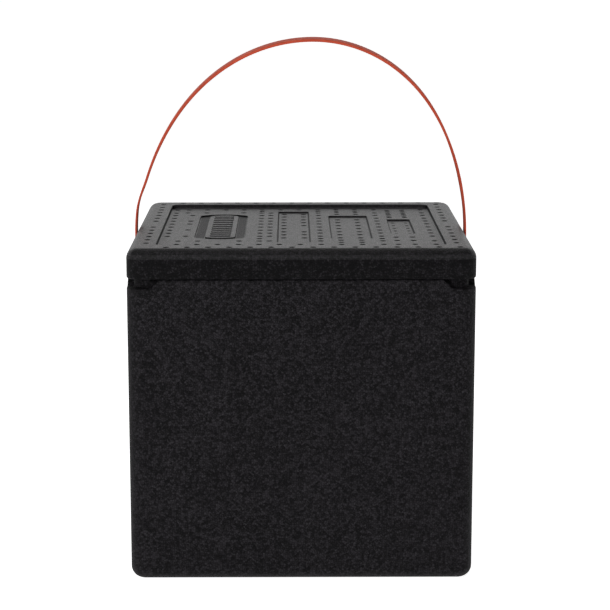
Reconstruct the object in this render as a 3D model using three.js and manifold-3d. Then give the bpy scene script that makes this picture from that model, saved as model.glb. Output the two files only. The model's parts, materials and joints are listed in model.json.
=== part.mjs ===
// Insulated food carrier: a square bead-foam box with a push-on lid and a red carrying strap.
// Millimetres, +Z up, +X to the right seen from the front (-Y). The origin is the centre of the base.

import * as THREE from 'three';
import { mergeVertices } from 'three/addons/utils/BufferGeometryUtils.js';
import Module from 'manifold-3d';

// Driving dimensions

const WIDTH = 410;            // outside, along X and along Y
const SHOULDER_Z = 366;       // top of the box's outer rim
const OVERALL_Z = 402;        // top of the lid's border
const WALL = 30;
const FLOOR = 35;
const CORNER_R = 18;          // vertical corners
const BASE_EDGE_R = 14;       // bottom edge of the box
const LID_EDGE_R = 12;        // top edge of the lid
const SEAM_EDGE_R = 2;        // small rounding where lid and box meet
const FIT = 0.3;              // gap between pieces that touch
const SLIP = 0.4;             // gap between the lid's plug and the rim

const TONGUE_OUT = 190.5;     // half width of the rim's raised tongue, outside
const TONGUE_Z = 378;
const PLUG_Z = 362;           // underside of the lid's plug
const CAVITY_HALF = WIDTH / 2 - WALL;
const CAVITY_R = 16;

const NOTCH_LONG = 27;        // finger notch along each face from the corner, at its floor
const NOTCH_TALL = 10.5;
const NOTCH_DEEP = 9;

const PANEL_HALF = 173;       // half width of the lid's sunk panel
const PANEL_R = 13;
const PANEL_DEEP = 5;
const POCKET_DEEP = 1.8;      // pockets below the panel
const POCKETS = [
  { x: [-29, 11.6], y: [-120, 139] },
  { x: [37, 87.5], y: [-90, 100] },
  { x: [112, 142], y: [-53, 68] },
];
const BADGE = { x: [-131, -68], y: [-95, 113], bow: 12 };   // oval pocket with arched ends
const ISLAND = { x: [-118, -80], y: [-93, 100], bow: 7 };   // raised plate inside it

const PIVOT_Z = 339;          // strap pins
const STRAP_WIDE = 22;
const STRAP_THICK = 2.4;
const STRAP_X = 209;          // strap's middle surface beside the box
const STRAP_TOP_Z = 638;      // crown of the arch, middle surface
const STRAP_TOP_X = 12;       // the arch leans a little to the right
const SPRING_Z = 389;         // where the straight legs end and the arch begins
const STRAP_LEAN = THREE.MathUtils.degToRad(5);   // the standing strap leans to the front
const EYE_R = 4.4;            // hole at each end of the strap
const EYE_BOSS_R = 13;        // round end of the strap, about the hole

const SOCKET_R = 10.7;
const SOCKET_LONG = 18;
const BORE_R = 11;
const FLANGE_R = 16;
const FLANGE_THICK = 2.2;
const STUD_R = 4;
const STUD_HEAD_R = 9;
const STUD_HEAD = 3;
const STUD_LONG = 14;         // from the strap's outer face into the socket

// Solids

const wasm = await Module();
wasm.setup();

function solid(geometry) {
  const bare = geometry.clone();
  bare.deleteAttribute('normal');
  bare.deleteAttribute('uv');
  const merged = mergeVertices(bare, 1e-4);
  return new wasm.Manifold(new wasm.Mesh({
    numProp: 3,
    vertProperties: new Float32Array(merged.attributes.position.array),
    triVerts: new Uint32Array(merged.index.array),
  }));
}

function geometryOf(manifold) {
  const mesh = manifold.getMesh();
  const geometry = new THREE.BufferGeometry();
  geometry.setAttribute('position', new THREE.BufferAttribute(new Float32Array(mesh.vertProperties), 3));
  geometry.setIndex(new THREE.BufferAttribute(new Uint32Array(mesh.triVerts), 1));
  geometry.computeVertexNormals();
  return geometry;
}

// Flat outlines

function roundedRect(x0, x1, y0, y1, r) {
  const shape = new THREE.Shape();
  shape.absarc(x1 - r, y0 + r, r, -Math.PI / 2, 0);
  shape.absarc(x1 - r, y1 - r, r, 0, Math.PI / 2);
  shape.absarc(x0 + r, y1 - r, r, Math.PI / 2, Math.PI);
  shape.absarc(x0 + r, y0 + r, r, Math.PI, 1.5 * Math.PI);
  shape.closePath();
  return shape;
}

function roundedSquare(half, r) {
  return roundedRect(-half, half, -half, half, r);
}

// A rectangle whose two ends along Y bow outwards as arcs of height `bow`.
function bowedRect({ x: [x0, x1], y: [y0, y1], bow }) {
  const half = (x1 - x0) / 2;
  const middle = (x0 + x1) / 2;
  const r = (half * half + bow * bow) / (2 * bow);
  const angle = Math.asin(half / r);
  const shape = new THREE.Shape();
  shape.absarc(middle, y0 + r, r, -Math.PI / 2 - angle, -Math.PI / 2 + angle);
  shape.absarc(middle, y1 - r, r, Math.PI / 2 - angle, Math.PI / 2 + angle);
  shape.closePath();
  return shape;
}

// Extruded blocks

function slab(shape, z0, z1, curveSegments = 6) {
  const geometry = new THREE.ExtrudeGeometry(shape, { depth: z1 - z0, bevelEnabled: false, curveSegments });
  return solid(geometry.translate(0, 0, z0));
}

// A slab with both its flat faces' edges rounded to radius `edge`.
function softSlab(shape, z0, z1, edge, steps, curveSegments = 6) {
  const geometry = new THREE.ExtrudeGeometry(shape, {
    depth: z1 - z0 - 2 * edge,
    bevelThickness: edge,
    bevelSize: edge,
    bevelOffset: -edge,
    bevelSegments: steps,
    curveSegments,
  });
  return solid(geometry.translate(0, 0, z0 + edge));
}

// A bar along X from x0 to x1, of the given radius, at the strap pins' height.
function pinAlongX(radius, x0, x1, segments = 24) {
  const geometry = new THREE.CylinderGeometry(radius, radius, Math.abs(x1 - x0), segments);
  geometry.rotateZ(Math.PI / 2);
  return solid(geometry.translate((x0 + x1) / 2, 0, PIVOT_Z));
}

// Finger notches: at each corner the rim is cut back under the lid, with sloping ends.

// A wedge open towards one face: along X it cuts near that side's X face, otherwise near its Y face.
function notchWedge(side, alongX) {
  const face = WIDTH / 2;
  const bottomZ = SHOULDER_Z - NOTCH_TALL;
  const past = 10;
  const profile = new THREE.Shape();
  profile.moveTo(face - NOTCH_LONG, bottomZ);
  profile.lineTo(face + past, bottomZ);
  profile.lineTo(face + past, SHOULDER_Z + past);
  profile.lineTo(face - NOTCH_LONG - NOTCH_TALL - past, SHOULDER_Z + past);
  profile.closePath();
  const geometry = new THREE.ExtrudeGeometry(profile, { depth: WIDTH + 4 * past, bevelEnabled: false });
  geometry.translate(0, 0, -WIDTH / 2 - 2 * past);
  geometry.rotateX(Math.PI / 2);
  if (!alongX) geometry.rotateZ(Math.PI / 2);
  if (side < 0) geometry.rotateZ(Math.PI);
  return solid(geometry);
}

function cornerNotches() {
  const column = slab(roundedSquare(WIDTH / 2 - NOTCH_DEEP, CORNER_R - 4), 0, OVERALL_Z);
  let cut = null;
  for (const sideX of [-1, 1]) {
    for (const sideY of [-1, 1]) {
      const corner = notchWedge(sideX, true).intersect(notchWedge(sideY, false)).subtract(column);
      cut = cut ? cut.add(corner) : corner;
    }
  }
  return cut;
}

// Box

function boxBody() {
  const outline = roundedSquare(WIDTH / 2, CORNER_R);
  const lower = softSlab(outline, 0, SHOULDER_Z, BASE_EDGE_R, 5);
  const upper = softSlab(outline, SHOULDER_Z / 2, SHOULDER_Z, SEAM_EDGE_R, 2);
  const tongue = softSlab(roundedSquare(TONGUE_OUT, 8), SHOULDER_Z / 2, TONGUE_Z, 1.5, 2);
  const cavity = softSlab(roundedSquare(CAVITY_HALF, CAVITY_R), FLOOR, OVERALL_Z + 20, 10, 3);
  let body = lower.add(upper).add(tongue).subtract(cavity).subtract(cornerNotches());
  for (const side of [-1, 1]) {
    const mouth = side * (WIDTH / 2 + 5);
    body = body.subtract(pinAlongX(BORE_R, side * (WIDTH / 2 - SOCKET_LONG - 1), mouth));
  }
  return body;
}

// Lid

function lid() {
  const outline = roundedSquare(WIDTH / 2, CORNER_R);
  const bottomZ = SHOULDER_Z + FIT;
  const top = softSlab(outline, OVERALL_Z - 2 * LID_EDGE_R, OVERALL_Z, LID_EDGE_R, 5);
  const skirt = softSlab(outline, bottomZ, OVERALL_Z - LID_EDGE_R + SEAM_EDGE_R, SEAM_EDGE_R, 2);
  const groove = slab(roundedSquare(TONGUE_OUT + SLIP, 8 + SLIP), bottomZ - 5, TONGUE_Z + SLIP)
    .subtract(slab(roundedSquare(CAVITY_HALF - SLIP, CAVITY_R - SLIP), 0, OVERALL_Z));
  const plug = softSlab(roundedSquare(CAVITY_HALF - SLIP, CAVITY_R - SLIP), PLUG_Z, OVERALL_Z - 15, 3, 2);
  const panelZ = OVERALL_Z - PANEL_DEEP;
  const pocketZ = panelZ - POCKET_DEEP;
  let shell = top.add(skirt).subtract(groove).add(plug);
  shell = shell.subtract(slab(roundedSquare(PANEL_HALF, PANEL_R), panelZ, OVERALL_Z + 5));
  for (const { x, y } of POCKETS) {
    shell = shell.subtract(slab(roundedRect(x[0], x[1], y[0], y[1], 2.5), pocketZ, panelZ + 1, 3));
  }
  shell = shell.subtract(slab(bowedRect(BADGE), pocketZ, panelZ + 1, 10));
  return shell.add(slab(bowedRect(ISLAND), pocketZ - 1, panelZ, 10));
}

// Strap: a flat band with straight legs and an arch of two quarter ellipses, drawn in the XZ plane
// relative to the pins, then tipped to the front about their axis.

function strapLine(offset) {
  const riseZ = STRAP_TOP_Z - SPRING_Z;
  const legX = STRAP_X + offset;
  const steps = 18;
  const points = [new THREE.Vector2(-legX, 0)];
  for (let i = 0; i <= 2 * steps; i += 1) {
    const angle = Math.PI * (1 - i / (2 * steps));
    const reach = Math.cos(angle) < 0 ? legX + STRAP_TOP_X : legX - STRAP_TOP_X;
    const x = STRAP_TOP_X + reach * Math.cos(angle);
    points.push(new THREE.Vector2(x, SPRING_Z - PIVOT_Z + (riseZ + offset) * Math.sin(angle)));
  }
  points.push(new THREE.Vector2(legX, 0));
  return points;
}

function carryStrap() {
  const outer = strapLine(STRAP_THICK / 2);
  const inner = strapLine(-STRAP_THICK / 2).reverse();
  const shape = new THREE.Shape([...outer, ...inner].reverse());
  const geometry = new THREE.ExtrudeGeometry(shape, { depth: STRAP_WIDE, bevelEnabled: false });
  geometry.translate(0, 0, -STRAP_WIDE / 2);
  geometry.rotateX(Math.PI / 2);
  geometry.translate(0, 0, PIVOT_Z);
  let band = solid(geometry);
  for (const side of [-1, 1]) {
    const innerX = side * (STRAP_X - STRAP_THICK / 2);
    band = band.add(pinAlongX(EYE_BOSS_R, innerX, innerX + side * STRAP_THICK, 36));
  }
  const cut = geometryOf(band.subtract(pinAlongX(EYE_R, -STRAP_X - 10, STRAP_X + 10)));
  cut.translate(0, 0, -PIVOT_Z);
  cut.rotateX(STRAP_LEAN);
  return cut.translate(0, 0, PIVOT_Z);
}

// Socket pressed into the side wall, and the headed stud that holds the strap in it

function anchorSocket(side) {
  const face = WIDTH / 2 + FIT;
  const barrel = pinAlongX(SOCKET_R, side * (WIDTH / 2 - SOCKET_LONG), side * (face + FLANGE_THICK));
  const flange = pinAlongX(FLANGE_R, side * face, side * (face + FLANGE_THICK), 36);
  const hole = pinAlongX(STUD_R + FIT, side * (WIDTH / 2 - SOCKET_LONG + 2.5), side * (face + 10));
  return barrel.add(flange).subtract(hole);
}

function strapStud(side) {
  const strapFace = STRAP_X + STRAP_THICK / 2 + FIT;
  const shank = pinAlongX(STUD_R, side * (strapFace + 1 - STUD_LONG), side * (strapFace + 1));
  const profile = [
    new THREE.Vector2(0, 0),
    new THREE.Vector2(STUD_HEAD_R, 0),
    new THREE.Vector2(STUD_HEAD_R, STUD_HEAD * 0.45),
    new THREE.Vector2(STUD_HEAD_R * 0.88, STUD_HEAD * 0.82),
    new THREE.Vector2(STUD_HEAD_R * 0.6, STUD_HEAD),
    new THREE.Vector2(0, STUD_HEAD),
  ];
  const cap = new THREE.LatheGeometry(profile, 28);
  cap.rotateZ(side > 0 ? -Math.PI / 2 : Math.PI / 2);
  cap.translate(side * strapFace, 0, PIVOT_Z);
  return shank.add(solid(cap));
}

// Assembly

const foam = { color: 0x1f1f20, roughness: 0.72, metalness: 0 };
const redBand = { color: 0xb5382c, roughness: 0.45, metalness: 0 };
const blackPlastic = { color: 0x18181a, roughness: 0.5, metalness: 0 };

const carrier = new THREE.Group();

function place(name, geometry, finish) {
  const mesh = new THREE.Mesh(geometry, new THREE.MeshStandardMaterial(finish));
  mesh.name = name;
  carrier.add(mesh);
}

place('box_body', geometryOf(boxBody()), foam);
place('lid', geometryOf(lid()), foam);
place('carry_strap', carryStrap(), redBand);
for (const [word, side] of [['left', -1], ['right', 1]]) {
  place(`anchor_socket_${word}`, geometryOf(anchorSocket(side)), blackPlastic);
  place(`strap_stud_${word}`, geometryOf(strapStud(side)), redBand);
}

export default carrier;
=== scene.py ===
import json
import math

import bmesh
import bpy
from mathutils import Matrix, Vector
from mathutils.geometry import delaunay_2d_cdt


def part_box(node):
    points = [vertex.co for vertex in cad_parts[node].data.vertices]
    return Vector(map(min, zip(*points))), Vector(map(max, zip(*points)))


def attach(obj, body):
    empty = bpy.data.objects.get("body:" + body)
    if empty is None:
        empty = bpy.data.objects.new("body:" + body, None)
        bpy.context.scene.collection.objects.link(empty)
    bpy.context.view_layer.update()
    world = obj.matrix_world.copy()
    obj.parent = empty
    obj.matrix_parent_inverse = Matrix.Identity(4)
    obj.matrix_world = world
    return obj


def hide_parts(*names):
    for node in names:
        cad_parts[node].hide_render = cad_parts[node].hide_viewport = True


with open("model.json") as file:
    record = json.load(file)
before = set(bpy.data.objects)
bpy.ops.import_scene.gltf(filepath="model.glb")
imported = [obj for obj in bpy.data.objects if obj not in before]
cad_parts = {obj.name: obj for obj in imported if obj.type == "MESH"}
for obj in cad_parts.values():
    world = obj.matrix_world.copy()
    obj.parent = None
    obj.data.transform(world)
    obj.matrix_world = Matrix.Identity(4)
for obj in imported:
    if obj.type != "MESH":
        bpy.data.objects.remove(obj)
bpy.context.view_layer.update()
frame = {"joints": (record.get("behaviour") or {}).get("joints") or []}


mm = 0.001
print("frame loaded")


bodyLow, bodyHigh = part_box("box_body")
lidLow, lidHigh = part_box("lid")
halfWidth = (bodyHigh[0] - bodyLow[0]) / 2
foamCorner = 18 * mm                     # corner radius of the box and the lid, seen from above
jointAt = {joint["name"]: Vector(joint["pos_m"]) for joint in frame["joints"] if "pos_m" in joint}
pivot = jointAt["strap_swing"]           # middle of the line through the two strap pins


class Sock:
    # one output of a node tree, so that shader maths reads as plain sums
    def __init__(self, kit, socket):
        self.kit = kit
        self.socket = socket

    def calc(self, operation, *others, swap=False):
        ends = list(others) + [self] if swap else [self] + list(others)
        return self.kit.node("ShaderNodeMath", {"operation": operation}, dict(enumerate(ends)))

    def __add__(self, other):
        return self.calc("ADD", other)

    def __radd__(self, other):
        return self.calc("ADD", other, swap=True)

    def __sub__(self, other):
        return self.calc("SUBTRACT", other)

    def __rsub__(self, other):
        return self.calc("SUBTRACT", other, swap=True)

    def __mul__(self, other):
        return self.calc("MULTIPLY", other)

    def __rmul__(self, other):
        return self.calc("MULTIPLY", other, swap=True)


class Kit:
    # the node tree of a new material or world
    names = {"color": "Base Color", "roughness": "Roughness", "normal": "Normal",
             "gloss": "Specular IOR Level", "glow": "Emission Strength"}
    mixSockets = (6, 7, 2)               # the two colours that a mix takes, and the one it gives

    def __init__(self, block):
        self.block = block
        block.use_nodes = True
        self.tree = block.node_tree
        self.tree.nodes.clear()

    def node(self, kind, settings=None, inputs=None, out=0):
        # makes a node of any kind: its settings first, then its socket values and links
        made = self.tree.nodes.new(kind)
        for key, value in (settings or {}).items():
            if key == "stops":
                self.setStops(made.color_ramp, value)
            else:
                setattr(made, key, value)
        for key, value in (inputs or {}).items():
            if isinstance(value, Sock):
                self.tree.links.new(value.socket, made.inputs[key])
            else:
                made.inputs[key].default_value = value
        return Sock(self, made.outputs[out]) if made.outputs else None

    def setStops(self, ramp, stops):
        while len(ramp.elements) < len(stops):
            ramp.elements.new(1.0)
        for element, (place, shade) in zip(ramp.elements, stops):
            element.position = place
            element.color = (shade, shade, shade, 1.0)

    def place(self):
        return self.node("ShaderNodeTexCoord", out="Object")

    def noise(self, scale, detail, roughness, out=0):
        inputs = {"Vector": self.place(), "Scale": scale, "Detail": detail, "Roughness": roughness}
        return self.node("ShaderNodeTexNoise", {"noise_dimensions": "3D"}, inputs, out)

    def ramp(self, value, stops):
        return self.node("ShaderNodeValToRGB", {"stops": stops}, {"Fac": value})

    def blend(self, factor, first, second):
        firstIn, secondIn, colorOut = self.mixSockets
        inputs = {"Factor": factor, firstIn: first, secondIn: second}
        return self.node("ShaderNodeMix", {"data_type": "RGBA"}, inputs, out=colorOut)

    def bump(self, height, distance, under=None):
        inputs = {"Height": height, "Distance": distance}
        if under is not None:
            inputs["Normal"] = under
        return self.node("ShaderNodeBump", {}, inputs)

    def finish(self, **sockets):
        inputs = {self.names[key]: value for key, value in sockets.items()}
        shader = self.node("ShaderNodeBsdfPrincipled", {}, inputs)
        self.node("ShaderNodeOutputMaterial", {}, {"Surface": shader})
        return self.block


foamLook = {
    "bead": 2.7 * mm,                                   # size of one fused bead
    "wobble": (2.2, 1.0, 0.5), "shift": 0.5, "spread": 0.9,
    "grain": (620.0, 3.0, 0.65), "patch": (11.0, 3.0, 0.6), "streak": (46.0, 2.0, 0.55),
    "scuff": (230.0, 4.0, 0.70),
    "domeStops": ((0.0, 0.0), (0.10, 0.55), (0.34, 1.0)),
    "scuffStops": ((0.56, 0.0), (0.72, 1.0)),
    "toneStops": ((0.16, 0.0), (0.78, 1.0)),
    "cellPart": 0.52, "grainPart": 0.62, "patchPart": 0.16, "streakPart": 0.16, "seamPart": 0.34,
    "bias": -0.22, "wornPart": 0.45,
    "dark": (0.0006, 0.0005, 0.0008, 1), "light": (0.0204, 0.0186, 0.0215, 1),
    "worn": (0.052, 0.050, 0.054, 1),
    "roughCell": 0.55, "roughGrain": 0.45, "roughSeam": 0.12,
    "beadRelief": 0.34 * mm, "grainRelief": 0.14 * mm, "domeHigh": 0.75, "cellHigh": 0.55,
}


def beadFoam(name, relief=1.0, lift=0.0, low=0.46, high=0.70, gloss=0.08):
    # fused foam beads: flattened cells, dark pits where they meet, a fine skin grain;
    # relief scales the bumps, lift shifts the tone, low and high bound the roughness
    look = foamLook
    kit = Kit(bpy.data.materials.new(name))
    perMetre = 1.0 / look["bead"]
    finer, detail, wobbleRough = look["wobble"]
    wobble = kit.noise(finer * perMetre, detail, wobbleRough, out="Color")
    shifted = kit.node("ShaderNodeVectorMath", {"operation": "MULTIPLY_ADD"},
                       {0: wobble, 1: (look["bead"] * look["shift"],) * 3, 2: kit.place()})
    cells = {"Vector": shifted, "Scale": perMetre, "Randomness": look["spread"]}
    edge = kit.node("ShaderNodeTexVoronoi", {"feature": "DISTANCE_TO_EDGE"}, cells)
    cell = kit.node("ShaderNodeTexVoronoi", {"feature": "F1"}, cells, out="Color")
    shade = kit.node("ShaderNodeSeparateColor", {}, {"Color": cell})
    dome = kit.ramp(edge, look["domeStops"])
    grain = kit.noise(*look["grain"])
    patch = kit.noise(*look["patch"])
    streak = kit.noise(*look["streak"])
    scuff = kit.ramp(kit.noise(*look["scuff"]), look["scuffStops"])
    seam = 1 - dome
    tone = shade * look["cellPart"] + grain * look["grainPart"] + patch * look["patchPart"]
    tone = tone + streak * look["streakPart"] - seam * look["seamPart"] + (look["bias"] + lift)
    color = kit.blend(kit.ramp(tone, look["toneStops"]), look["dark"], look["light"])
    color = kit.blend(scuff * dome * look["wornPart"], color, look["worn"])
    uneven = shade * look["roughCell"] + grain * look["roughGrain"]
    rough = low + (high - low) * uneven + seam * look["roughSeam"]
    height = dome * look["domeHigh"] + shade * look["cellHigh"]
    normal = kit.bump(height, look["beadRelief"] * relief)
    normal = kit.bump(grain, look["grainRelief"] * relief, normal)
    return kit.finish(color=color, roughness=rough, normal=normal, gloss=gloss)


redLook = {
    "mottle": (38.0, 4.0, 0.6), "cloud": (9.0, 2.0, 0.5), "grain": (900.0, 2.0, 0.6),
    "scuff": (160.0, 7.0, 0.75), "scuffStops": ((0.60, 0.0), (0.72, 1.0)),
    "toneStops": ((0.30, 0.0), (0.72, 1.0)), "mottlePart": 0.6, "cloudPart": 0.4, "wornPart": 0.30,
    "deep": (0.37, 0.050, 0.026, 1), "bright": (0.49, 0.077, 0.038, 1), "worn": (0.58, 0.16, 0.10, 1),
    "rough": 0.52, "roughGrain": 0.16, "roughScuff": 0.14, "relief": 0.05 * mm, "gloss": 0.05,
}


def redPlastic(name):
    # satin moulded plastic: slight mottling, a fine grain, rubbed spots
    look = redLook
    kit = Kit(bpy.data.materials.new(name))
    mottle = kit.noise(*look["mottle"])
    cloud = kit.noise(*look["cloud"])
    grain = kit.noise(*look["grain"])
    scuff = kit.ramp(kit.noise(*look["scuff"]), look["scuffStops"])
    tone = kit.ramp(mottle * look["mottlePart"] + cloud * look["cloudPart"], look["toneStops"])
    color = kit.blend(tone, look["deep"], look["bright"])
    color = kit.blend(scuff * look["wornPart"], color, look["worn"])
    rough = look["rough"] + grain * look["roughGrain"] + scuff * look["roughScuff"]
    normal = kit.bump(grain * look["mottlePart"] + mottle * look["cloudPart"], look["relief"])
    return kit.finish(color=color, roughness=rough, normal=normal, gloss=look["gloss"])


blackLook = {
    "grain": (1100.0, 3.0, 0.6), "rub": (220.0, 5.0, 0.7), "rubStops": ((0.55, 0.0), (0.72, 1.0)),
    "deep": (0.012, 0.012, 0.013, 1), "worn": (0.040, 0.040, 0.042, 1), "wornPart": 0.5,
    "rough": 0.42, "roughGrain": 0.2, "relief": 0.06 * mm,
}


def blackPlastic(name):
    # moulded fitting: fine eroded grain, paler rubbed spots
    look = blackLook
    kit = Kit(bpy.data.materials.new(name))
    grain = kit.noise(*look["grain"])
    rub = kit.ramp(kit.noise(*look["rub"]), look["rubStops"])
    color = kit.blend(rub * look["wornPart"], look["deep"], look["worn"])
    rough = look["rough"] + grain * look["roughGrain"]
    return kit.finish(color=color, roughness=rough, normal=kit.bump(grain, look["relief"]))


foamSide = beadFoam("blackBeadFoam")
foamLidSide = beadFoam("blackBeadFoamLid", lift=-0.22)
foamTop = beadFoam("blackBeadFoamTop", relief=0.7, low=0.36, high=0.54, gloss=0.5)
# the rounded edge of the lid: more relief, and a tone painted darker than the top's as shade
foamRoundShade = beadFoam("blackBeadFoamRoundShade", relief=1.3, lift=-0.12, low=0.36, high=0.60, gloss=0.18)
# a band along the rounded edge: glossier, which gives a real sheen, and painted lighter than the rounding as
# a highlight
foamGlint = beadFoam("blackBeadFoamGlint", relief=1.9, lift=-0.06, low=0.32, high=0.60, gloss=0.24)
# the hollows of the core vents: rougher, and painted darker as shade
foamVentShade = beadFoam("blackBeadFoamVentShade", relief=0.5, lift=-0.28, low=0.70, high=0.88, gloss=0.14)
foamCrease = beadFoam("blackBeadFoamCrease", relief=0.5, low=0.50, high=0.70, gloss=0.25)
redBand = redPlastic("redBandPlastic")
darkPlastic = blackPlastic("blackFittingPlastic")
print("finishes made")


class Mould:
    # collects rings of vertices, skins between them and flat fills, as one closed mesh
    insideOnly = 1                       # the kind of fill that keeps to the inside of its loops
    tolerance = 1e-7

    def __init__(self):
        self.bm = bmesh.new()

    def ring(self, points, z):
        return [self.bm.verts.new((x, y, z)) for x, y in points]

    def skin(self, rings, slot=0):
        for first, second in zip(rings, rings[1:]):
            count = len(first)
            for i in range(count):
                j = (i + 1) % count
                face = self.bm.faces.new((first[i], first[j], second[j], second[i]))
                face.material_index = slot

    def fill(self, outer, holes=(), slot=0):
        # fills between an outer ring and any holes, all at one height
        rings = [outer, *holes]
        verts = [vert for ring in rings for vert in ring]
        flat = [Vector((vert.co.x, vert.co.y)) for vert in verts]
        loops = []
        start = 0
        for ring in rings:
            loops.append(list(range(start, start + len(ring))))
            start += len(ring)
        edges = [(loop[i], loop[(i + 1) % len(loop)]) for loop in loops for i in range(len(loop))]
        found = delaunay_2d_cdt(flat, edges, loops, self.insideOnly, self.tolerance)
        faces, vertSource, faceSource = found[2], found[3], found[5]
        owner = [verts[source[0]] if source else None for source in vertSource]
        for face, source in zip(faces, faceSource):
            corners = [owner[i] for i in face]
            if list(source) == [0] and None not in corners:          # in the outer ring and in no hole
                self.bm.faces.new(corners).material_index = slot

    def piece(self, name, materials, smooth=38.0):
        bmesh.ops.recalc_face_normals(self.bm, faces=self.bm.faces)
        mesh = bpy.data.meshes.new(name)
        self.bm.to_mesh(mesh)
        self.bm.free()
        for material in materials:
            mesh.materials.append(material)
        for face in mesh.polygons:
            face.use_smooth = True
        mesh.set_sharp_from_angle(angle=math.radians(smooth))
        thing = bpy.data.objects.new(name, mesh)
        bpy.context.scene.collection.objects.link(thing)
        return thing


def inMm(*values):
    return [value * mm for value in values]


def quarter(steps):
    # sine and cosine pairs over a quarter turn
    turns = [math.pi / 2 * i / steps for i in range(steps + 1)]
    return [(math.sin(turn), math.cos(turn)) for turn in turns]


def ease(value):
    value = min(max(value, 0.0), 1.0)
    return value * value * (3 - 2 * value)


def shrink(points, distance):
    # offsets a closed counter-clockwise outline inwards, keeping its vertex count
    count = len(points)
    moved = []
    for i in range(count):
        before, here, after = points[i - 1], points[i], points[(i + 1) % count]
        a = (here[0] - before[0], here[1] - before[1])
        b = (after[0] - here[0], after[1] - here[1])
        la, lb = math.hypot(*a), math.hypot(*b)
        na, nb = (-a[1] / la, a[0] / la), (-b[1] / lb, b[0] / lb)
        scale = distance / (1 + na[0] * nb[0] + na[1] * nb[1])
        moved.append((here[0] + (na[0] + nb[0]) * scale, here[1] + (na[1] + nb[1]) * scale))
    return moved


def rectOutline(lowX, highX, lowY, highY, radius, steps):
    points = []
    corners = ((highX - radius, lowY + radius, -90), (highX - radius, highY - radius, 0),
               (lowX + radius, highY - radius, 90), (lowX + radius, lowY + radius, 180))
    for x, y, start in corners:
        for i in range(steps + 1):
            angle = math.radians(start + 90 * i / steps)
            points.append((x + radius * math.cos(angle), y + radius * math.sin(angle)))
    return points


def evenly(points, step):
    # puts extra points on a closed outline, so that none of its edges is longer than step
    dense = []
    for here, after in zip(points, points[1:] + points[:1]):
        count = max(1, math.ceil(math.dist(here, after) / step))
        run = (after[0] - here[0], after[1] - here[1])
        dense += [(here[0] + run[0] * i / count, here[1] + run[1] * i / count) for i in range(count)]
    return dense


def bowedOutline(lowX, highX, lowY, highY, bow, steps=22, step=2.4 * mm, passes=9):
    # straight sides along Y, ends bowed outwards, softened in a few passes where they meet
    half = (highX - lowX) / 2
    middle = (lowX + highX) / 2
    radius = (half * half + bow * bow) / (2 * bow)
    sweep = math.asin(half / radius)
    points = []
    for sign in (-1, 1):
        for i in range(steps + 1):
            t = -sweep + 2 * sweep * i / steps
            x = middle - sign * radius * math.sin(t)
            end = lowY if sign < 0 else highY
            y = end + sign * (radius * math.cos(t) - radius)
            points.append((x, y))
    points = evenly(points, step)
    for _ in range(passes):
        points = [((p[0] + 2 * q[0] + r[0]) / 4, (p[1] + 2 * q[1] + r[1]) / 4)
                  for p, q, r in zip(points[-1:] + points[:-1], points, points[1:] + points[:1])]
    return points


def discOutline(x, y, radius, steps):
    turn = 2 * math.pi / steps
    return [(x + radius * math.cos(turn * i), y + radius * math.sin(turn * i)) for i in range(steps)]


def wallProfile(depth, edge, fillet, guard, steps, draft=0.0):
    # (inward offset, drop) pairs from a flat, over a rounded edge, down a wall and into a fillet
    pairs = [(-guard, 0.0)]
    pairs += [(edge * sine, edge * (1 - cosine)) for sine, cosine in quarter(steps)]
    base = edge + draft
    pairs += [(base + fillet * (1 - cosine), depth - fillet * (1 - sine)) for sine, cosine in quarter(steps)]
    pairs.append((base + fillet + guard, depth))
    return pairs


def sink(mould, outline, z, pairs, slot=0):
    # follows a wall profile from the outline; returns its first and last rings
    rings = [mould.ring(shrink(outline, offset), z - drop) for offset, drop in pairs]
    mould.skin(rings, slot)
    return rings[0], rings[-1]


squareRun = {"near": 46 * mm, "nearStep": 1.6 * mm, "midSteps": 10, "cornerSteps": 14}


def squareStations(half, radius):
    # distances along a side from its middle, close together near the corners
    run = squareRun
    straight = half - radius
    near = run["near"] / (halfWidth - foamCorner)
    count = round(run["near"] / run["nearStep"])
    stations = [-1 + near * i / count for i in range(1, count)]
    stations += [-(1 - near) + 2 * (1 - near) * i / run["midSteps"] for i in range(run["midSteps"] + 1)]
    stations += [1 - near * i / count for i in range(count - 1, 0, -1)]
    return [t * straight for t in stations]


def squareRing(half, radius):
    # the outline of a rounded square, with for each point its distance along the face from the corner
    points = []
    steps = squareRun["cornerSteps"]
    core = half - radius
    for side in range(4):
        turn = Matrix.Rotation(math.radians(90 * side), 2)
        for s in squareStations(half, radius):
            points.append((turn @ Vector((s, -half)), half - abs(s)))
        for i in range(steps + 1):
            angle = math.radians(-90 + 90 * i / steps)
            at = Vector((core + radius * math.cos(angle), radius * math.sin(angle) - core))
            points.append((turn @ at, 0.0))
    return [((p.x, p.y), reach) for p, reach in points]


def roundedRows(half, radius, z, size, steps, up, out=-1, closing=False):
    # rows of (half width, corner radius, height) over a rounded edge that starts at z, or closes at z
    rows = []
    for sine, cosine in quarter(steps):
        across, along = (1 - cosine, 1 - sine) if closing else (1 - sine, 1 - cosine)
        rows.append((half + out * size * across, radius + out * size * across, z + up * size * along))
    return rows


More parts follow.
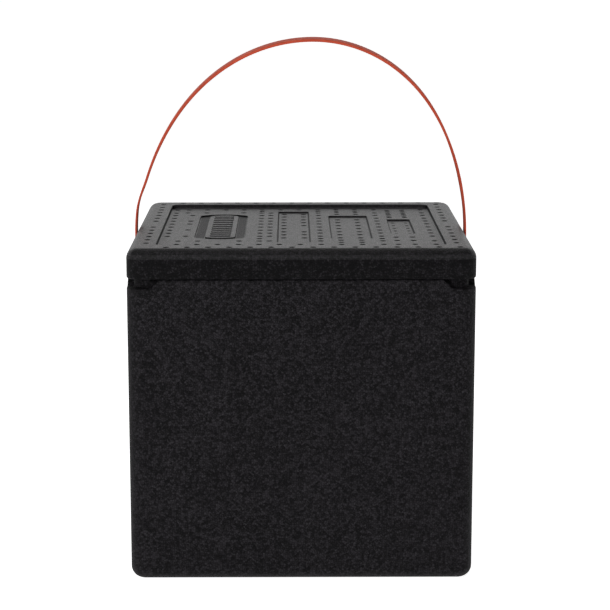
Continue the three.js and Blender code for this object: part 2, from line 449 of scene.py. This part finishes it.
boxShape = {
    "baseRadius": 14 * mm, "rimRadius": 2 * mm, "shoulder": 366 * mm,
    "tongueHalf": 190.5 * mm, "tongueRadius": 8 * mm, "tongueEdge": 1.5 * mm,
    "wall": 30 * mm, "cavityRadius": 16 * mm, "cavityFillet": 10 * mm, "floor": 35 * mm,
    "notchLong": 27 * mm, "notchTall": 10.5 * mm, "notchDeep": 9 * mm, "notchRound": 1.6 * mm,
    "notchBlend": 3 * mm,                                # width of the rounding at a notch's sloping end
    "notchStep": 0.02 * mm, "notchMiddle": 0.55,         # the flat floor between lip and fillet
    "wallLevels": (80, 150, 220, 290, 330, 346), "notchLevels": (3.0, 4.4, 5.8, 7.2),       # in mm
    "mouthDrop": 20 * mm, "cavityMiddle": 200 * mm,
    "guard": 0.4 * mm, "flatGuard": 1 * mm,              # narrow bands that keep the flats flat
    "keepOff": 0.5 * mm,                                 # plain rings keep this far from a rounding
    "baseSteps": 10, "notchSteps": 3, "edgeSteps": 4, "floorSteps": 8,
    "boreRadius": 11 * mm, "boreDeep": 19 * mm, "boreSides": 40,
}


def notchInset(reach, z):
    # how far the rim is cut back, at a distance along the face from the corner and at a height
    shape = boxShape
    up = z - (shape["shoulder"] - shape["notchTall"])
    end = shape["notchLong"] + up
    return shape["notchDeep"] * ease((end - reach) / shape["notchBlend"] + 0.5)


def cutBack(x, y, half, radius, inset):
    # moves a rim point onto the smaller square behind a notch
    core = half - radius
    dx, dy = max(abs(x) - core, 0.0), max(abs(y) - core, 0.0)
    length = math.hypot(dx, dy)
    if length > 0:
        dx, dy = dx * (radius - inset) / length, dy * (radius - inset) / length
    return math.copysign(min(abs(x), core) + dx, x), math.copysign(min(abs(y), core) + dy, y)


def outsideRows():
    # (half width, corner radius, height, share of the notch depth) from the base up to the rim
    shape = boxShape
    base, rim = shape["baseRadius"], shape["rimRadius"]
    soft, deep = shape["notchRound"], shape["notchDeep"]
    turns = quarter(shape["notchSteps"])
    shoulder, guard, step = shape["shoulder"], shape["guard"], shape["notchStep"]
    notchZ = shoulder - shape["notchTall"]
    outer = (halfWidth, foamCorner)
    plain = [(halfWidth - base - shape["flatGuard"], foamCorner - base, 0.0)]
    plain += roundedRows(*outer, 0.0, base, shape["baseSteps"], up=1)
    plain += [(*outer, z) for z in (*inMm(*shape["wallLevels"]), notchZ - soft - shape["keepOff"])]
    rows = [(*row, 0.0) for row in plain]
    rows += [(*outer, notchZ - soft * (1 - sine), soft * (1 - cosine) / deep) for sine, cosine in turns]
    rows.append((*outer, notchZ + step, shape["notchMiddle"]))
    for sine, cosine in turns:                           # fillet at the back of the notch floor
        rows.append((*outer, notchZ + 2 * step + soft * (1 - cosine), 1 - soft * (1 - sine) / deep))
    rows += [(*outer, notchZ + up, 1.0) for up in inMm(*shape["notchLevels"])]
    rimRows = roundedRows(*outer, shoulder, rim, shape["edgeSteps"], up=-1, closing=True)
    rows += [(*row, 1.0) for row in rimRows]
    rows.append((halfWidth - rim - guard, foamCorner - rim - guard, shoulder, 1.0))
    return rows


def insideRows():
    # the same without notches, over the tongue and down the cavity to its floor
    shape = boxShape
    tongue, corner, edge = shape["tongueHalf"], shape["tongueRadius"], shape["tongueEdge"]
    shoulder, top, foot = shape["shoulder"], bodyHigh[2], shape["keepOff"]
    rows = [(tongue + foot, corner + foot, shoulder), (tongue, corner, shoulder + shape["guard"]),
            (tongue, corner, top - edge - foot)]
    rows += roundedRows(tongue, corner, top, edge, shape["edgeSteps"], up=-1, closing=True)
    cavity, corner, fillet = halfWidth - shape["wall"], shape["cavityRadius"], shape["cavityFillet"]
    floor, guard = shape["floor"], shape["flatGuard"]
    rows.append((cavity + edge + shape["guard"], corner + edge, top))
    rows += roundedRows(cavity, corner, top, edge, shape["edgeSteps"], up=-1, out=1)
    rows += [(cavity, corner, z) for z in (top - shape["mouthDrop"], shape["cavityMiddle"],
                                           floor + fillet + guard)]
    rows += roundedRows(cavity, corner, floor, fillet, shape["floorSteps"], up=1, closing=True)
    rows.append((cavity - fillet - guard, corner - fillet, floor))
    return [(*row, 0.0) for row in rows]


def makeBox():
    mould = Mould()
    rings = []
    for half, radius, z, share in outsideRows() + insideRows():
        points = []
        for (x, y), reach in squareRing(half, radius):
            inset = notchInset(reach, z) * share
            points.append(cutBack(x, y, half, radius, inset) if inset > 0 else (x, y))
        rings.append(mould.ring(points, z))
    mould.skin(rings)
    mould.fill(rings[0])
    mould.fill(rings[-1])
    return mould.piece("foamBox", [foamSide])


def cutBores(thing):
    # the two bores that the strap sockets are pressed into
    shape = boxShape
    for side in (-1, 1):
        bpy.ops.mesh.primitive_cylinder_add(vertices=shape["boreSides"], radius=shape["boreRadius"],
                                            depth=shape["boreDeep"] * 2,
                                            location=(side * halfWidth, pivot.y, pivot.z),
                                            rotation=(0, math.radians(90), 0))
        cutter = bpy.context.object
        cut = thing.modifiers.new("bore", "BOOLEAN")
        cut.operation = "DIFFERENCE"
        cut.solver = "EXACT"
        cut.object = cutter
        bpy.context.view_layer.objects.active = thing
        bpy.ops.object.modifier_apply(modifier=cut.name)
        bpy.data.objects.remove(cutter)


foamBox = makeBox()
cutBores(foamBox)
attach(foamBox, "box")
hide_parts("box_body")
print("box made:", len(foamBox.data.polygons), "faces")


lidShape = {
    "gap": 0.3 * mm, "topRadius": 12 * mm, "rimRadius": 2 * mm, "sideDrop": 4 * mm,
    "panelHalf": 173 * mm, "panelRadius": 13 * mm, "panelDeep": 5 * mm, "pocketDeep": 2.1 * mm,
    "grooveHalf": 190.9 * mm, "grooveTop": 378.4 * mm, "grooveRadius": 8.4 * mm,
    "leadWide": 1 * mm, "leadRadius": 9 * mm,            # chamfer at the mouth of the groove
    "plugHalf": 174.6 * mm, "plugRadius": 15.6 * mm, "plugEdge": 3 * mm, "plugInner": 12 * mm,
    "guard": 0.4 * mm, "flatGuard": 0.8 * mm,
    "topSteps": 10, "rimSteps": 5, "plugSteps": 6, "panelSteps": 12, "pocketSteps": 6, "barSteps": 5,
    # pockets in the panel: low x, high x, low y, high y, in mm
    "pockets": ((-29, 11.6, -120, 139), (37, 87.5, -90, 100), (112, 142, -53, 68)),
    "pocketRadius": 2.5 * mm,
    "badge": (-131, -68, -95, 113), "badgeBow": 12 * mm,
    "island": (-118, -80, -91.5, 100), "islandBow": 7 * mm, "islandRise": 0.8 * mm, "islandInset": 1 * mm,
    "bars": 11, "barWide": 8 * mm, "barTall": 1.1 * mm, "barRadius": 3 * mm,
    "barInset": 6 * mm, "barMargin": 8 * mm,             # bare island beside the bars, and before and after
    "vent": 3.5 * mm, "tinyVent": 2.2 * mm, "ventSides": 14,
    # a vent's hollow: inward offset and drop, in mm
    "ventProfile": ((-0.35, 0), (0, 0), (0.25, 0.15), (0.45, 0.6), (0.8, 1.7), (1.3, 2.0)),
    "steep": 0.5, "topDepth": 3 * mm,        # flats shine as the top, down to this far below the pockets
    "sideShine": 0.3, "glints": (0.1, 0.45),             # slopes on the rounding where it shines; the glint band is also painted lighter as a highlight
}
lidWalls = {
    "panel": {"edge": 1.0 * mm, "fillet": 1.2 * mm, "guard": 0.5 * mm, "steps": 4, "draft": 0.6 * mm},
    "pocket": {"edge": 0.45 * mm, "fillet": 0.5 * mm, "guard": 0.35 * mm, "steps": 3, "draft": 0.3 * mm},
    "bar": {"edge": 0.4 * mm, "fillet": 0.3 * mm, "guard": 0.3 * mm, "steps": 3},
}
panelZ = lidHigh[2] - lidShape["panelDeep"]
pocketZ = panelZ - lidShape["pocketDeep"]
islandZ = panelZ + lidShape["islandRise"]
lidFinishes = [foamLidSide, foamTop, foamVentShade, foamCrease, foamRoundShade, foamGlint]
sideSlot, topSlot, ventShadeSlot, creaseSlot, roundShadeSlot, glintSlot = range(len(lidFinishes))


def spaced(start, pitch, first, last):
    return [start + pitch * k for k in range(first, last)]


ventRows = (-136, -110, -73, -48, -24, 2, 28, 53, 78, 104, 126, 155)
ventLayout = {
    # core-vent marks: columns across the lid and the rows they stand on, from front to back, in mm
    "border": ((spaced(13.8, 24.6, -7, 8), (-187, 187)),
               ((-184, 184), spaced(-5, 25.2, -6, 0) + spaced(-5, 25.2, 1, 8))),
    "panel": (((-164,), ventRows[2:]), ((-141.5,), (104, 53, 28, -21, -72)),
              ((-149,), (155, 128, -110, -136)), ((-124, -99, -75), (155,)), ((-124, -75), (128,)),
              ((-125, -75), (-136, -110)), ((-100,), (-136,)),
              ((-50.5,), (*ventRows, -92, 141)), ((-38.5,), ventRows[1:-1]), ((-26, -1), (-136, 155)),
              ((24,), (*ventRows, -92, 141)), ((48.5, 73.5), (-136, -120, -104, 112, 128, 143, 158)),
              ((99,), (*ventRows, -92)), ((116.5, 136.5), spaced(84, 13, 0, 6)),
              ((116.5, 136.5), (-136, -107, -81)), ((161.5,), ventRows)),
    "firstPocket": (((-21,), ventRows[2:11]), ((4.3,), ventRows[2:5] + ventRows[6:11])),
    "secondPocket": (((48.5, 73.5), ventRows[2:9]),),
    "thirdPocket": (((119, 136), spaced(4, 22, -2, 3)),),
}


def addVents(mould, group, z, radius):
    shape = lidShape
    profile = [inMm(*pair) for pair in shape["ventProfile"]]
    places = [(x, y) for columns, rows in ventLayout[group] for x in columns for y in rows]
    holes = []
    for x, y in places:
        outline = discOutline(x * mm, y * mm, radius, shape["ventSides"])
        # the hollow's walls and bottom take the vent finish, painted darker as shade
        top, bottom = sink(mould, outline, z, profile, ventShadeSlot)
        holes.append(top)
        mould.fill(bottom, (), ventShadeSlot)
    return holes


def addBars(mould):
    # plain raised ribs where a badge would be
    shape = lidShape
    lowX, highX, lowY, highY = inMm(*shape["island"])
    wide, margin, inset = shape["barWide"], shape["barMargin"], shape["barInset"]
    pitch = (highY - lowY - 2 * margin) / shape["bars"]
    wall = wallProfile(shape["barTall"], **lidWalls["bar"])
    reach = wall[-1][0] - lidWalls["bar"]["guard"]
    climb = [(reach - offset, drop - shape["barTall"]) for offset, drop in reversed(wall)]
    holes = []
    for i in range(shape["bars"]):
        middle = lowY + margin + pitch * (i + 0.5)
        outline = rectOutline(lowX + inset, highX - inset, middle - wide / 2, middle + wide / 2,
                              shape["barRadius"], shape["barSteps"])
        foot, crest = sink(mould, outline, islandZ, climb)
        holes.append(foot)
        mould.fill(crest)
    return holes


def addPockets(mould, wall):
    shape = lidShape
    mouths = []
    for group, pocket in zip(("firstPocket", "secondPocket", "thirdPocket"), shape["pockets"]):
        outline = rectOutline(*inMm(*pocket), shape["pocketRadius"], shape["pocketSteps"])
        mouth, floor = sink(mould, outline, panelZ, wall, creaseSlot)
        mouths.append(mouth)
        radius = shape["tinyVent"] if group == "thirdPocket" else shape["vent"]
        mould.fill(floor, addVents(mould, group, pocketZ, radius))
    return mouths


def addBadge(mould, wall):
    # a pocket with bowed ends, and a raised island with bars in its middle
    shape = lidShape
    mouth, floor = sink(mould, bowedOutline(*inMm(*shape["badge"]), shape["badgeBow"]), panelZ, wall)
    outline = shrink(bowedOutline(*inMm(*shape["island"]), shape["islandBow"]), shape["islandInset"])
    rise = wallProfile(islandZ - pocketZ, **lidWalls["pocket"])
    crest, foot = sink(mould, outline, islandZ, [(-offset, drop) for offset, drop in rise])
    mould.fill(floor, [foot], creaseSlot)
    mould.fill(crest, addBars(mould))
    return mouth


def lidRows():
    # (half width, corner radius, height) from the top, down the side and over the underside
    shape = lidShape
    top, bottom = lidHigh[2], boxShape["shoulder"] + shape["gap"]
    edge, rim = shape["topRadius"], shape["rimRadius"]
    guard, flatGuard, lead = shape["guard"], shape["flatGuard"], shape["leadWide"]
    outer = (halfWidth, foamCorner)
    rows = [(halfWidth - edge - flatGuard, foamCorner - edge - flatGuard, top)]
    rows += roundedRows(*outer, top, edge, shape["topSteps"], up=-1)
    rows += [(*outer, (top + bottom) / 2 - shape["sideDrop"]), (*outer, bottom + rim + guard)]
    rows += roundedRows(*outer, bottom, rim, shape["rimSteps"], up=1, closing=True)
    rows.append((halfWidth - rim - guard, foamCorner - rim - guard, bottom))
    groove, grooveTop, grooveRadius = shape["grooveHalf"], shape["grooveTop"], shape["grooveRadius"]
    plug, plugRadius, plugEdge = shape["plugHalf"], shape["plugRadius"], shape["plugEdge"]
    rows += [(groove + lead, shape["leadRadius"], bottom), (groove, grooveRadius, bottom + lead),
             (groove, grooveRadius, grooveTop - guard), (groove - guard, grooveRadius - guard, grooveTop),
             (plug + guard, plugRadius + guard, grooveTop), (plug, plugRadius, grooveTop - guard)]
    rows += roundedRows(plug, plugRadius, lidLow[2], plugEdge, shape["plugSteps"], up=1, closing=True)
    rows.append((plug - plugEdge - flatGuard, shape["plugInner"], lidLow[2]))
    return rows


def lidSlot(face):
    # the finish of a face that has none yet; the rounding shines like the top on the left and right,
    # elsewhere it is painted darker as shade, and at the front and back it has a band of glints
    # that are glossier and painted lighter as a highlight
    shape = lidShape
    middle = face.calc_center_median()
    reach = max(abs(middle.x), abs(middle.y))
    slope = abs(face.normal.z)
    if reach > halfWidth - shape["topRadius"] and middle.z > lidHigh[2] - shape["topRadius"]:
        if abs(middle.x) > abs(middle.y):
            return topSlot if slope > shape["sideShine"] else roundShadeSlot
        low, high = shape["glints"]
        return glintSlot if low < slope < high else roundShadeSlot
    if slope > shape["steep"] and middle.z > pocketZ - shape["topDepth"]:
        return topSlot
    # the panel's back wall takes the crease finish, a lighter tone than the lid's sides: painted light
    litBackWall = abs(face.normal.y) > shape["steep"] and middle.y > 0 and middle.z > panelZ
    return creaseSlot if litBackWall and reach < shape["panelHalf"] else sideSlot


def makeLid():
    shape = lidShape
    mould = Mould()
    rings = []
    for half, radius, z in lidRows():
        rings.append(mould.ring([point for point, _ in squareRing(half, radius)], z))
    mould.skin(rings)
    mould.fill(rings[-1])

    half = shape["panelHalf"]
    outline = rectOutline(-half, half, -half, half, shape["panelRadius"], shape["panelSteps"])
    panelWall = wallProfile(shape["panelDeep"], **lidWalls["panel"])
    panelTop, panelFloor = sink(mould, outline, lidHigh[2], panelWall)
    mould.fill(rings[0], [panelTop, *addVents(mould, "border", lidHigh[2], shape["vent"])])

    pocketWall = wallProfile(shape["pocketDeep"], **lidWalls["pocket"])
    holes = addVents(mould, "panel", panelZ, shape["vent"])
    holes += addPockets(mould, pocketWall)
    holes.append(addBadge(mould, pocketWall))
    mould.fill(panelFloor, holes)
    for face in mould.bm.faces:
        face.normal_update()
        if face.material_index == sideSlot:
            face.material_index = lidSlot(face)
    return mould.piece("foamLid", lidFinishes)


foamLid = makeLid()
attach(foamLid, "cover")
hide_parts("lid")
print("lid made:", len(foamLid.data.polygons), "faces")


strapShape = {
    "wide": 22 * mm, "thick": 2.4 * mm, "legX": 209 * mm, "crownX": 15 * mm, "crownZ": 635.5 * mm,
    "springZ": 389 * mm, "lean": 5, "eye": 4.4 * mm, "boss": 13 * mm, "edge": 0.7 * mm, "step": 2.6 * mm,
    "sway": (2.0 * mm, 1.5 * mm),      # how far the left and right legs lean inwards at lid height
    "clearZ": 418 * mm, "clearRun": 44 * mm,           # above this the band draws in, leans and thickens
    "pinch": 5 * mm, "drift": 4.4 * mm, "swell": 0.38,
    "guard": 0.4 * mm, "eyeEdge": 0.6,                 # the eyes' edges are rounded by this share
    "archSteps": 400, "bossSteps": 26, "eyeSteps": 28, "edgeSteps": 3, "sharpFrom": 50,
}


def clearOfLid(z):
    return ease((z - strapShape["clearZ"]) / strapShape["clearRun"])


def strapPath():
    # middle surface of the band from the left pin over the crown to the right pin, before it leans
    shape = strapShape
    points = [Vector((-shape["legX"], 0, pivot.z))]
    rise = shape["crownZ"] - shape["springZ"]
    reaches = (shape["legX"] + shape["crownX"] - shape["sway"][0],
               shape["legX"] - shape["crownX"] - shape["sway"][1])
    for i in range(shape["archSteps"] + 1):
        angle = math.pi * i / shape["archSteps"]
        sine, cosine = math.sin(angle), -math.cos(angle)
        z = shape["springZ"] + rise * sine
        above = clearOfLid(z) * 2 * sine
        reach = reaches[0 if cosine < 0 else 1] - shape["pinch"] * above * cosine ** 4
        x = shape["crownX"] + reach * cosine + shape["drift"] * above * abs(cosine)
        points.append(Vector((x, 0, z)))
    points.append(Vector((shape["legX"], 0, pivot.z)))
    lengths = [0.0]
    for first, second in zip(points, points[1:]):
        lengths.append(lengths[-1] + (second - first).length)
    return points, lengths


def alongPath(points, lengths, s):
    # point and outward direction at a distance s along the band; straight on past its ends
    last = len(points) - 2
    i = 0 if s <= 0 else last
    if 0 < s < lengths[-1]:
        low, high = 0, len(lengths) - 1
        while high - low > 1:
            middle = (low + high) // 2
            low, high = (middle, high) if lengths[middle] <= s else (low, middle)
        i = low
    run = (points[i + 1] - points[i]).normalized()
    return points[i] + run * (s - lengths[i]), Vector((-run.z, 0, run.x))


def bossArc(x, start, sweep):
    # points round the end of the band, between its two long edges
    shape = strapShape
    steps = shape["bossSteps"]
    turns = [start + sweep * i / steps for i in range(1, steps)]
    return [(x + shape["boss"] * math.cos(turn), shape["boss"] * math.sin(turn)) for turn in turns]


def strapOutline(length):
    # the band laid flat: long edges stepped evenly, round ends about each eye
    shape = strapShape
    half, boss = shape["wide"] / 2, shape["boss"]
    meet = math.sqrt(boss * boss - half * half)
    turn = math.asin(half / boss)
    sweep = 2 * (math.pi - turn)
    count = round((length - 2 * meet) / shape["step"])
    near = [(meet + (length - 2 * meet) * i / count, -half) for i in range(count + 1)]
    far = [(x, half) for x, _ in reversed(near)]
    return near + bossArc(length, -math.pi + turn, sweep) + far + bossArc(0, turn, sweep)


def makeStrap():
    shape = strapShape
    points, lengths = strapPath()
    length = lengths[-1]
    half, edge = shape["thick"] / 2, shape["edge"]
    mould = Mould()
    outline = strapOutline(length)
    eyes = [discOutline(x, 0, shape["eye"], shape["eyeSteps"]) for x in (0, length)]
    upper = [(edge + shape["guard"], half)]
    turns = quarter(shape["edgeSteps"])
    upper += [(edge * (1 - sine), half - edge * (1 - cosine)) for sine, cosine in turns]
    profile = upper + [(offset, -level) for offset, level in reversed(upper)]
    rings = [mould.ring(shrink(outline, offset), level) for offset, level in profile]
    holes = [[mould.ring(shrink(eye, -offset * shape["eyeEdge"]), level) for offset, level in profile]
             for eye in eyes]
    for chain in [rings, *holes]:
        mould.skin(chain)
    mould.fill(rings[0], [hole[0] for hole in holes])
    mould.fill(rings[-1], [hole[-1] for hole in holes])
    lean = Matrix.Rotation(math.radians(shape["lean"]), 3, "X")
    for vert in mould.bm.verts:
        at, out = alongPath(points, lengths, vert.co.x)
        thicker = 1 + shape["swell"] * clearOfLid(at.z)
        spot = at + out * vert.co.z * thicker + Vector((0, vert.co.y, 0))
        vert.co = lean @ (spot - pivot) + pivot
    return mould.piece("redBand", [redBand], shape["sharpFrom"])


band = makeStrap()
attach(band, "strap")
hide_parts("carry_strap")
print("strap made:", len(band.data.polygons), "faces")


turning = {"steps": 48, "sharpFrom": 35}


def turned(name, profile, side, x, material):
    # a lathe-turned piece about the strap pins' axis; profile is (radius, distance outwards) pairs
    mould = Mould()
    steps = turning["steps"]
    rings = []
    for radius, out in profile:
        ring = []
        for i in range(steps):
            angle = 2 * math.pi * i / steps
            ring.append(mould.bm.verts.new((side * (x + out), pivot.y + radius * math.cos(angle),
                                            pivot.z + radius * math.sin(angle))))
        rings.append(ring)
    mould.skin(rings)
    mould.bm.faces.new(rings[0])
    mould.bm.faces.new(rings[-1])
    return mould.piece(name, [material], turning["sharpFrom"])


studShape = {
    "gap": 0.3 * mm, "shank": 4.0 * mm, "long": 14 * mm, "into": 1 * mm, "tip": 0.6 * mm,
    "head": 9.0 * mm, "tall": 3.0 * mm, "lip": 0.3 * mm,
    "straight": 0.42, "domed": 0.58,                     # shares of the head's height
    "domeIn": 2.6 * mm, "domeSteps": 6,
    "dishIn": 3.6 * mm, "centre": 0.6 * mm,
    "dish": ((0.4, 0), (0, 0.15), (-0.5, 0.7), (-1.0, 0.8)),      # offset from its radius and drop, in mm
}


def studProfile():
    # shank, flat underside, domed head and the shallow dish in it
    shape = studShape
    shank, head, tall, tip, lip = (shape[key] for key in ("shank", "head", "tall", "tip", "lip"))
    low = shape["into"] - shape["long"]
    profile = [(shank - tip, low), (shank, low + tip), (shank, 0),
               (head - lip, 0), (head, lip), (head, tall * shape["straight"])]
    for sine, cosine in quarter(shape["domeSteps"])[1:]:
        level = tall * (shape["straight"] + shape["domed"] * sine)
        profile.append((head - shape["domeIn"] * (1 - cosine), level))
    dish = [inMm(*pair) for pair in shape["dish"]]
    profile += [(head - shape["dishIn"] + offset, tall - drop) for offset, drop in dish]
    profile.append((shape["centre"], tall - dish[-1][1]))
    return profile


socketShape = {
    "barrel": 10.7 * mm, "long": 18 * mm, "flange": 16 * mm, "thick": 2.2 * mm, "bore": 4.3 * mm,
    "lead": 0.8 * mm, "lip": 0.3 * mm, "underEdge": 0.4 * mm, "overEdge": 0.5 * mm, "crown": 0.05 * mm,
    "mouth": 0.2 * mm, "end": 2.5 * mm,                      # end: thickness behind the blind bore
}


def socketProfile():
    # barrel, flange with rounded edges, blind bore for the pin
    shape = socketShape
    barrel, flange, thick, bore = (shape[key] for key in ("barrel", "flange", "thick", "bore"))
    lead, lip, under, over = (shape[key] for key in ("lead", "lip", "underEdge", "overEdge"))
    back = -shape["long"]
    deep = back + shape["end"]
    return [(barrel - lead, back), (barrel, back + lead), (barrel, 0), (barrel + lip, lip),
            (flange - under, lip), (flange, lip + under), (flange, thick - over),
            (flange - lip, thick + shape["crown"]), (flange - lead, thick + lip),
            (bore + over, thick + lip), (bore, thick - shape["mouth"]), (bore, deep + lip),
            (bore - lip, deep)]


studBase = strapShape["legX"] + strapShape["thick"] / 2 + studShape["gap"]
for word, side in (("left", -1), ("right", 1)):
    stud = turned("bandStud_" + word, studProfile(), side, studBase, redBand)
    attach(stud, "strap")
    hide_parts("strap_stud_" + word)
    socket = turned("wallSocket_" + word, socketProfile(), side, halfWidth, darkPlastic)
    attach(socket, "box")
    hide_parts("anchor_socket_" + word)
print("fixings made")


stage = {
    "floor": 60.0, "floorZ": -0.6 * mm, "white": (0.95, 0.95, 0.95, 1), "offWhite": (0.93, 0.93, 0.93, 1),
    "speck": (3.0, 2.0, 0.5), "floorRough": 0.9, "floorGlow": 0.90,
    # the sky's light in front and behind, and the directions between which it changes
    "front": 0.02, "behind": 1.32, "dimTo": 0.50, "fullFrom": 0.88,
    "keyAt": (-1.8, -2.2, 1.6), "keySize": (1.2, 1.2), "keyPower": 50,
    "fillAt": (2.2, -1.8, 1.4), "fillSize": (1.0, 1.4), "fillPower": 12,
    "topAt": (0.0, 0.2, 2.6), "topSize": (1.6, 1.6), "topPower": 16, "aim": (0, 0, 0.3),
    "lens": 113.1, "sensor": 36.0,
    "cameraAt": (-0.013, -2.400, 0.762), "pitch": 10.97, "yaw": -0.445,
}


def makeFloor():
    bpy.ops.mesh.primitive_plane_add(size=stage["floor"], location=(0, 0, stage["floorZ"]))
    floor = bpy.context.object
    floor.name = "floor"
    kit = Kit(bpy.data.materials.new("paleFloor"))
    color = kit.blend(kit.noise(*stage["speck"]), stage["white"], stage["offWhite"])
    floor.data.materials.append(kit.finish(color=color, roughness=stage["floorRough"],
                                           glow=stage["floorGlow"], gloss=0.0))


def makeWorld():
    # white to look at; as light, bright low behind the box and dim everywhere else
    kit = Kit(bpy.data.worlds.new("softWhite"))
    toward = kit.node("ShaderNodeTexCoord", out="Generated")
    depth = kit.node("ShaderNodeSeparateXYZ", {}, {"Vector": toward}, out="Y")
    glow = kit.node("ShaderNodeMapRange", {}, {"Value": depth, "From Min": stage["dimTo"],
                                               "From Max": stage["fullFrom"], "To Min": stage["front"],
                                               "To Max": stage["behind"]})
    seen = kit.node("ShaderNodeLightPath", out="Is Camera Ray")
    shade = kit.node("ShaderNodeMix", {}, {"Factor": seen, "A": glow, "B": 1.0})
    background = kit.node("ShaderNodeBackground", {}, {"Color": shade})
    kit.node("ShaderNodeOutputWorld", {}, {"Surface": background})
    bpy.context.scene.world = kit.block


def softBox(name, at, aim, size, power):
    data = bpy.data.lights.new(name, "AREA")
    data.shape = "RECTANGLE"
    data.size, data.size_y = size
    data.energy = power
    lamp = bpy.data.objects.new(name, data)
    lamp.location = at
    lamp.rotation_euler = (Vector(aim) - Vector(at)).to_track_quat("-Z", "Y").to_euler()
    bpy.context.scene.collection.objects.link(lamp)


def makeCamera():
    data = bpy.data.cameras.new("view")
    data.lens = stage["lens"]
    data.sensor_width = stage["sensor"]
    camera = bpy.data.objects.new("view", data)
    camera.location = stage["cameraAt"]
    camera.rotation_euler = (math.radians(90 - stage["pitch"]), 0, math.radians(stage["yaw"]))
    bpy.context.scene.collection.objects.link(camera)
    bpy.context.scene.camera = camera


makeFloor()
makeWorld()
for word in ("key", "fill", "top"):
    softBox(word + "Light", stage[word + "At"], stage["aim"], stage[word + "Size"], stage[word + "Power"])
makeCamera()
bpy.context.scene.view_settings.view_transform = "Standard"
print("stage made")
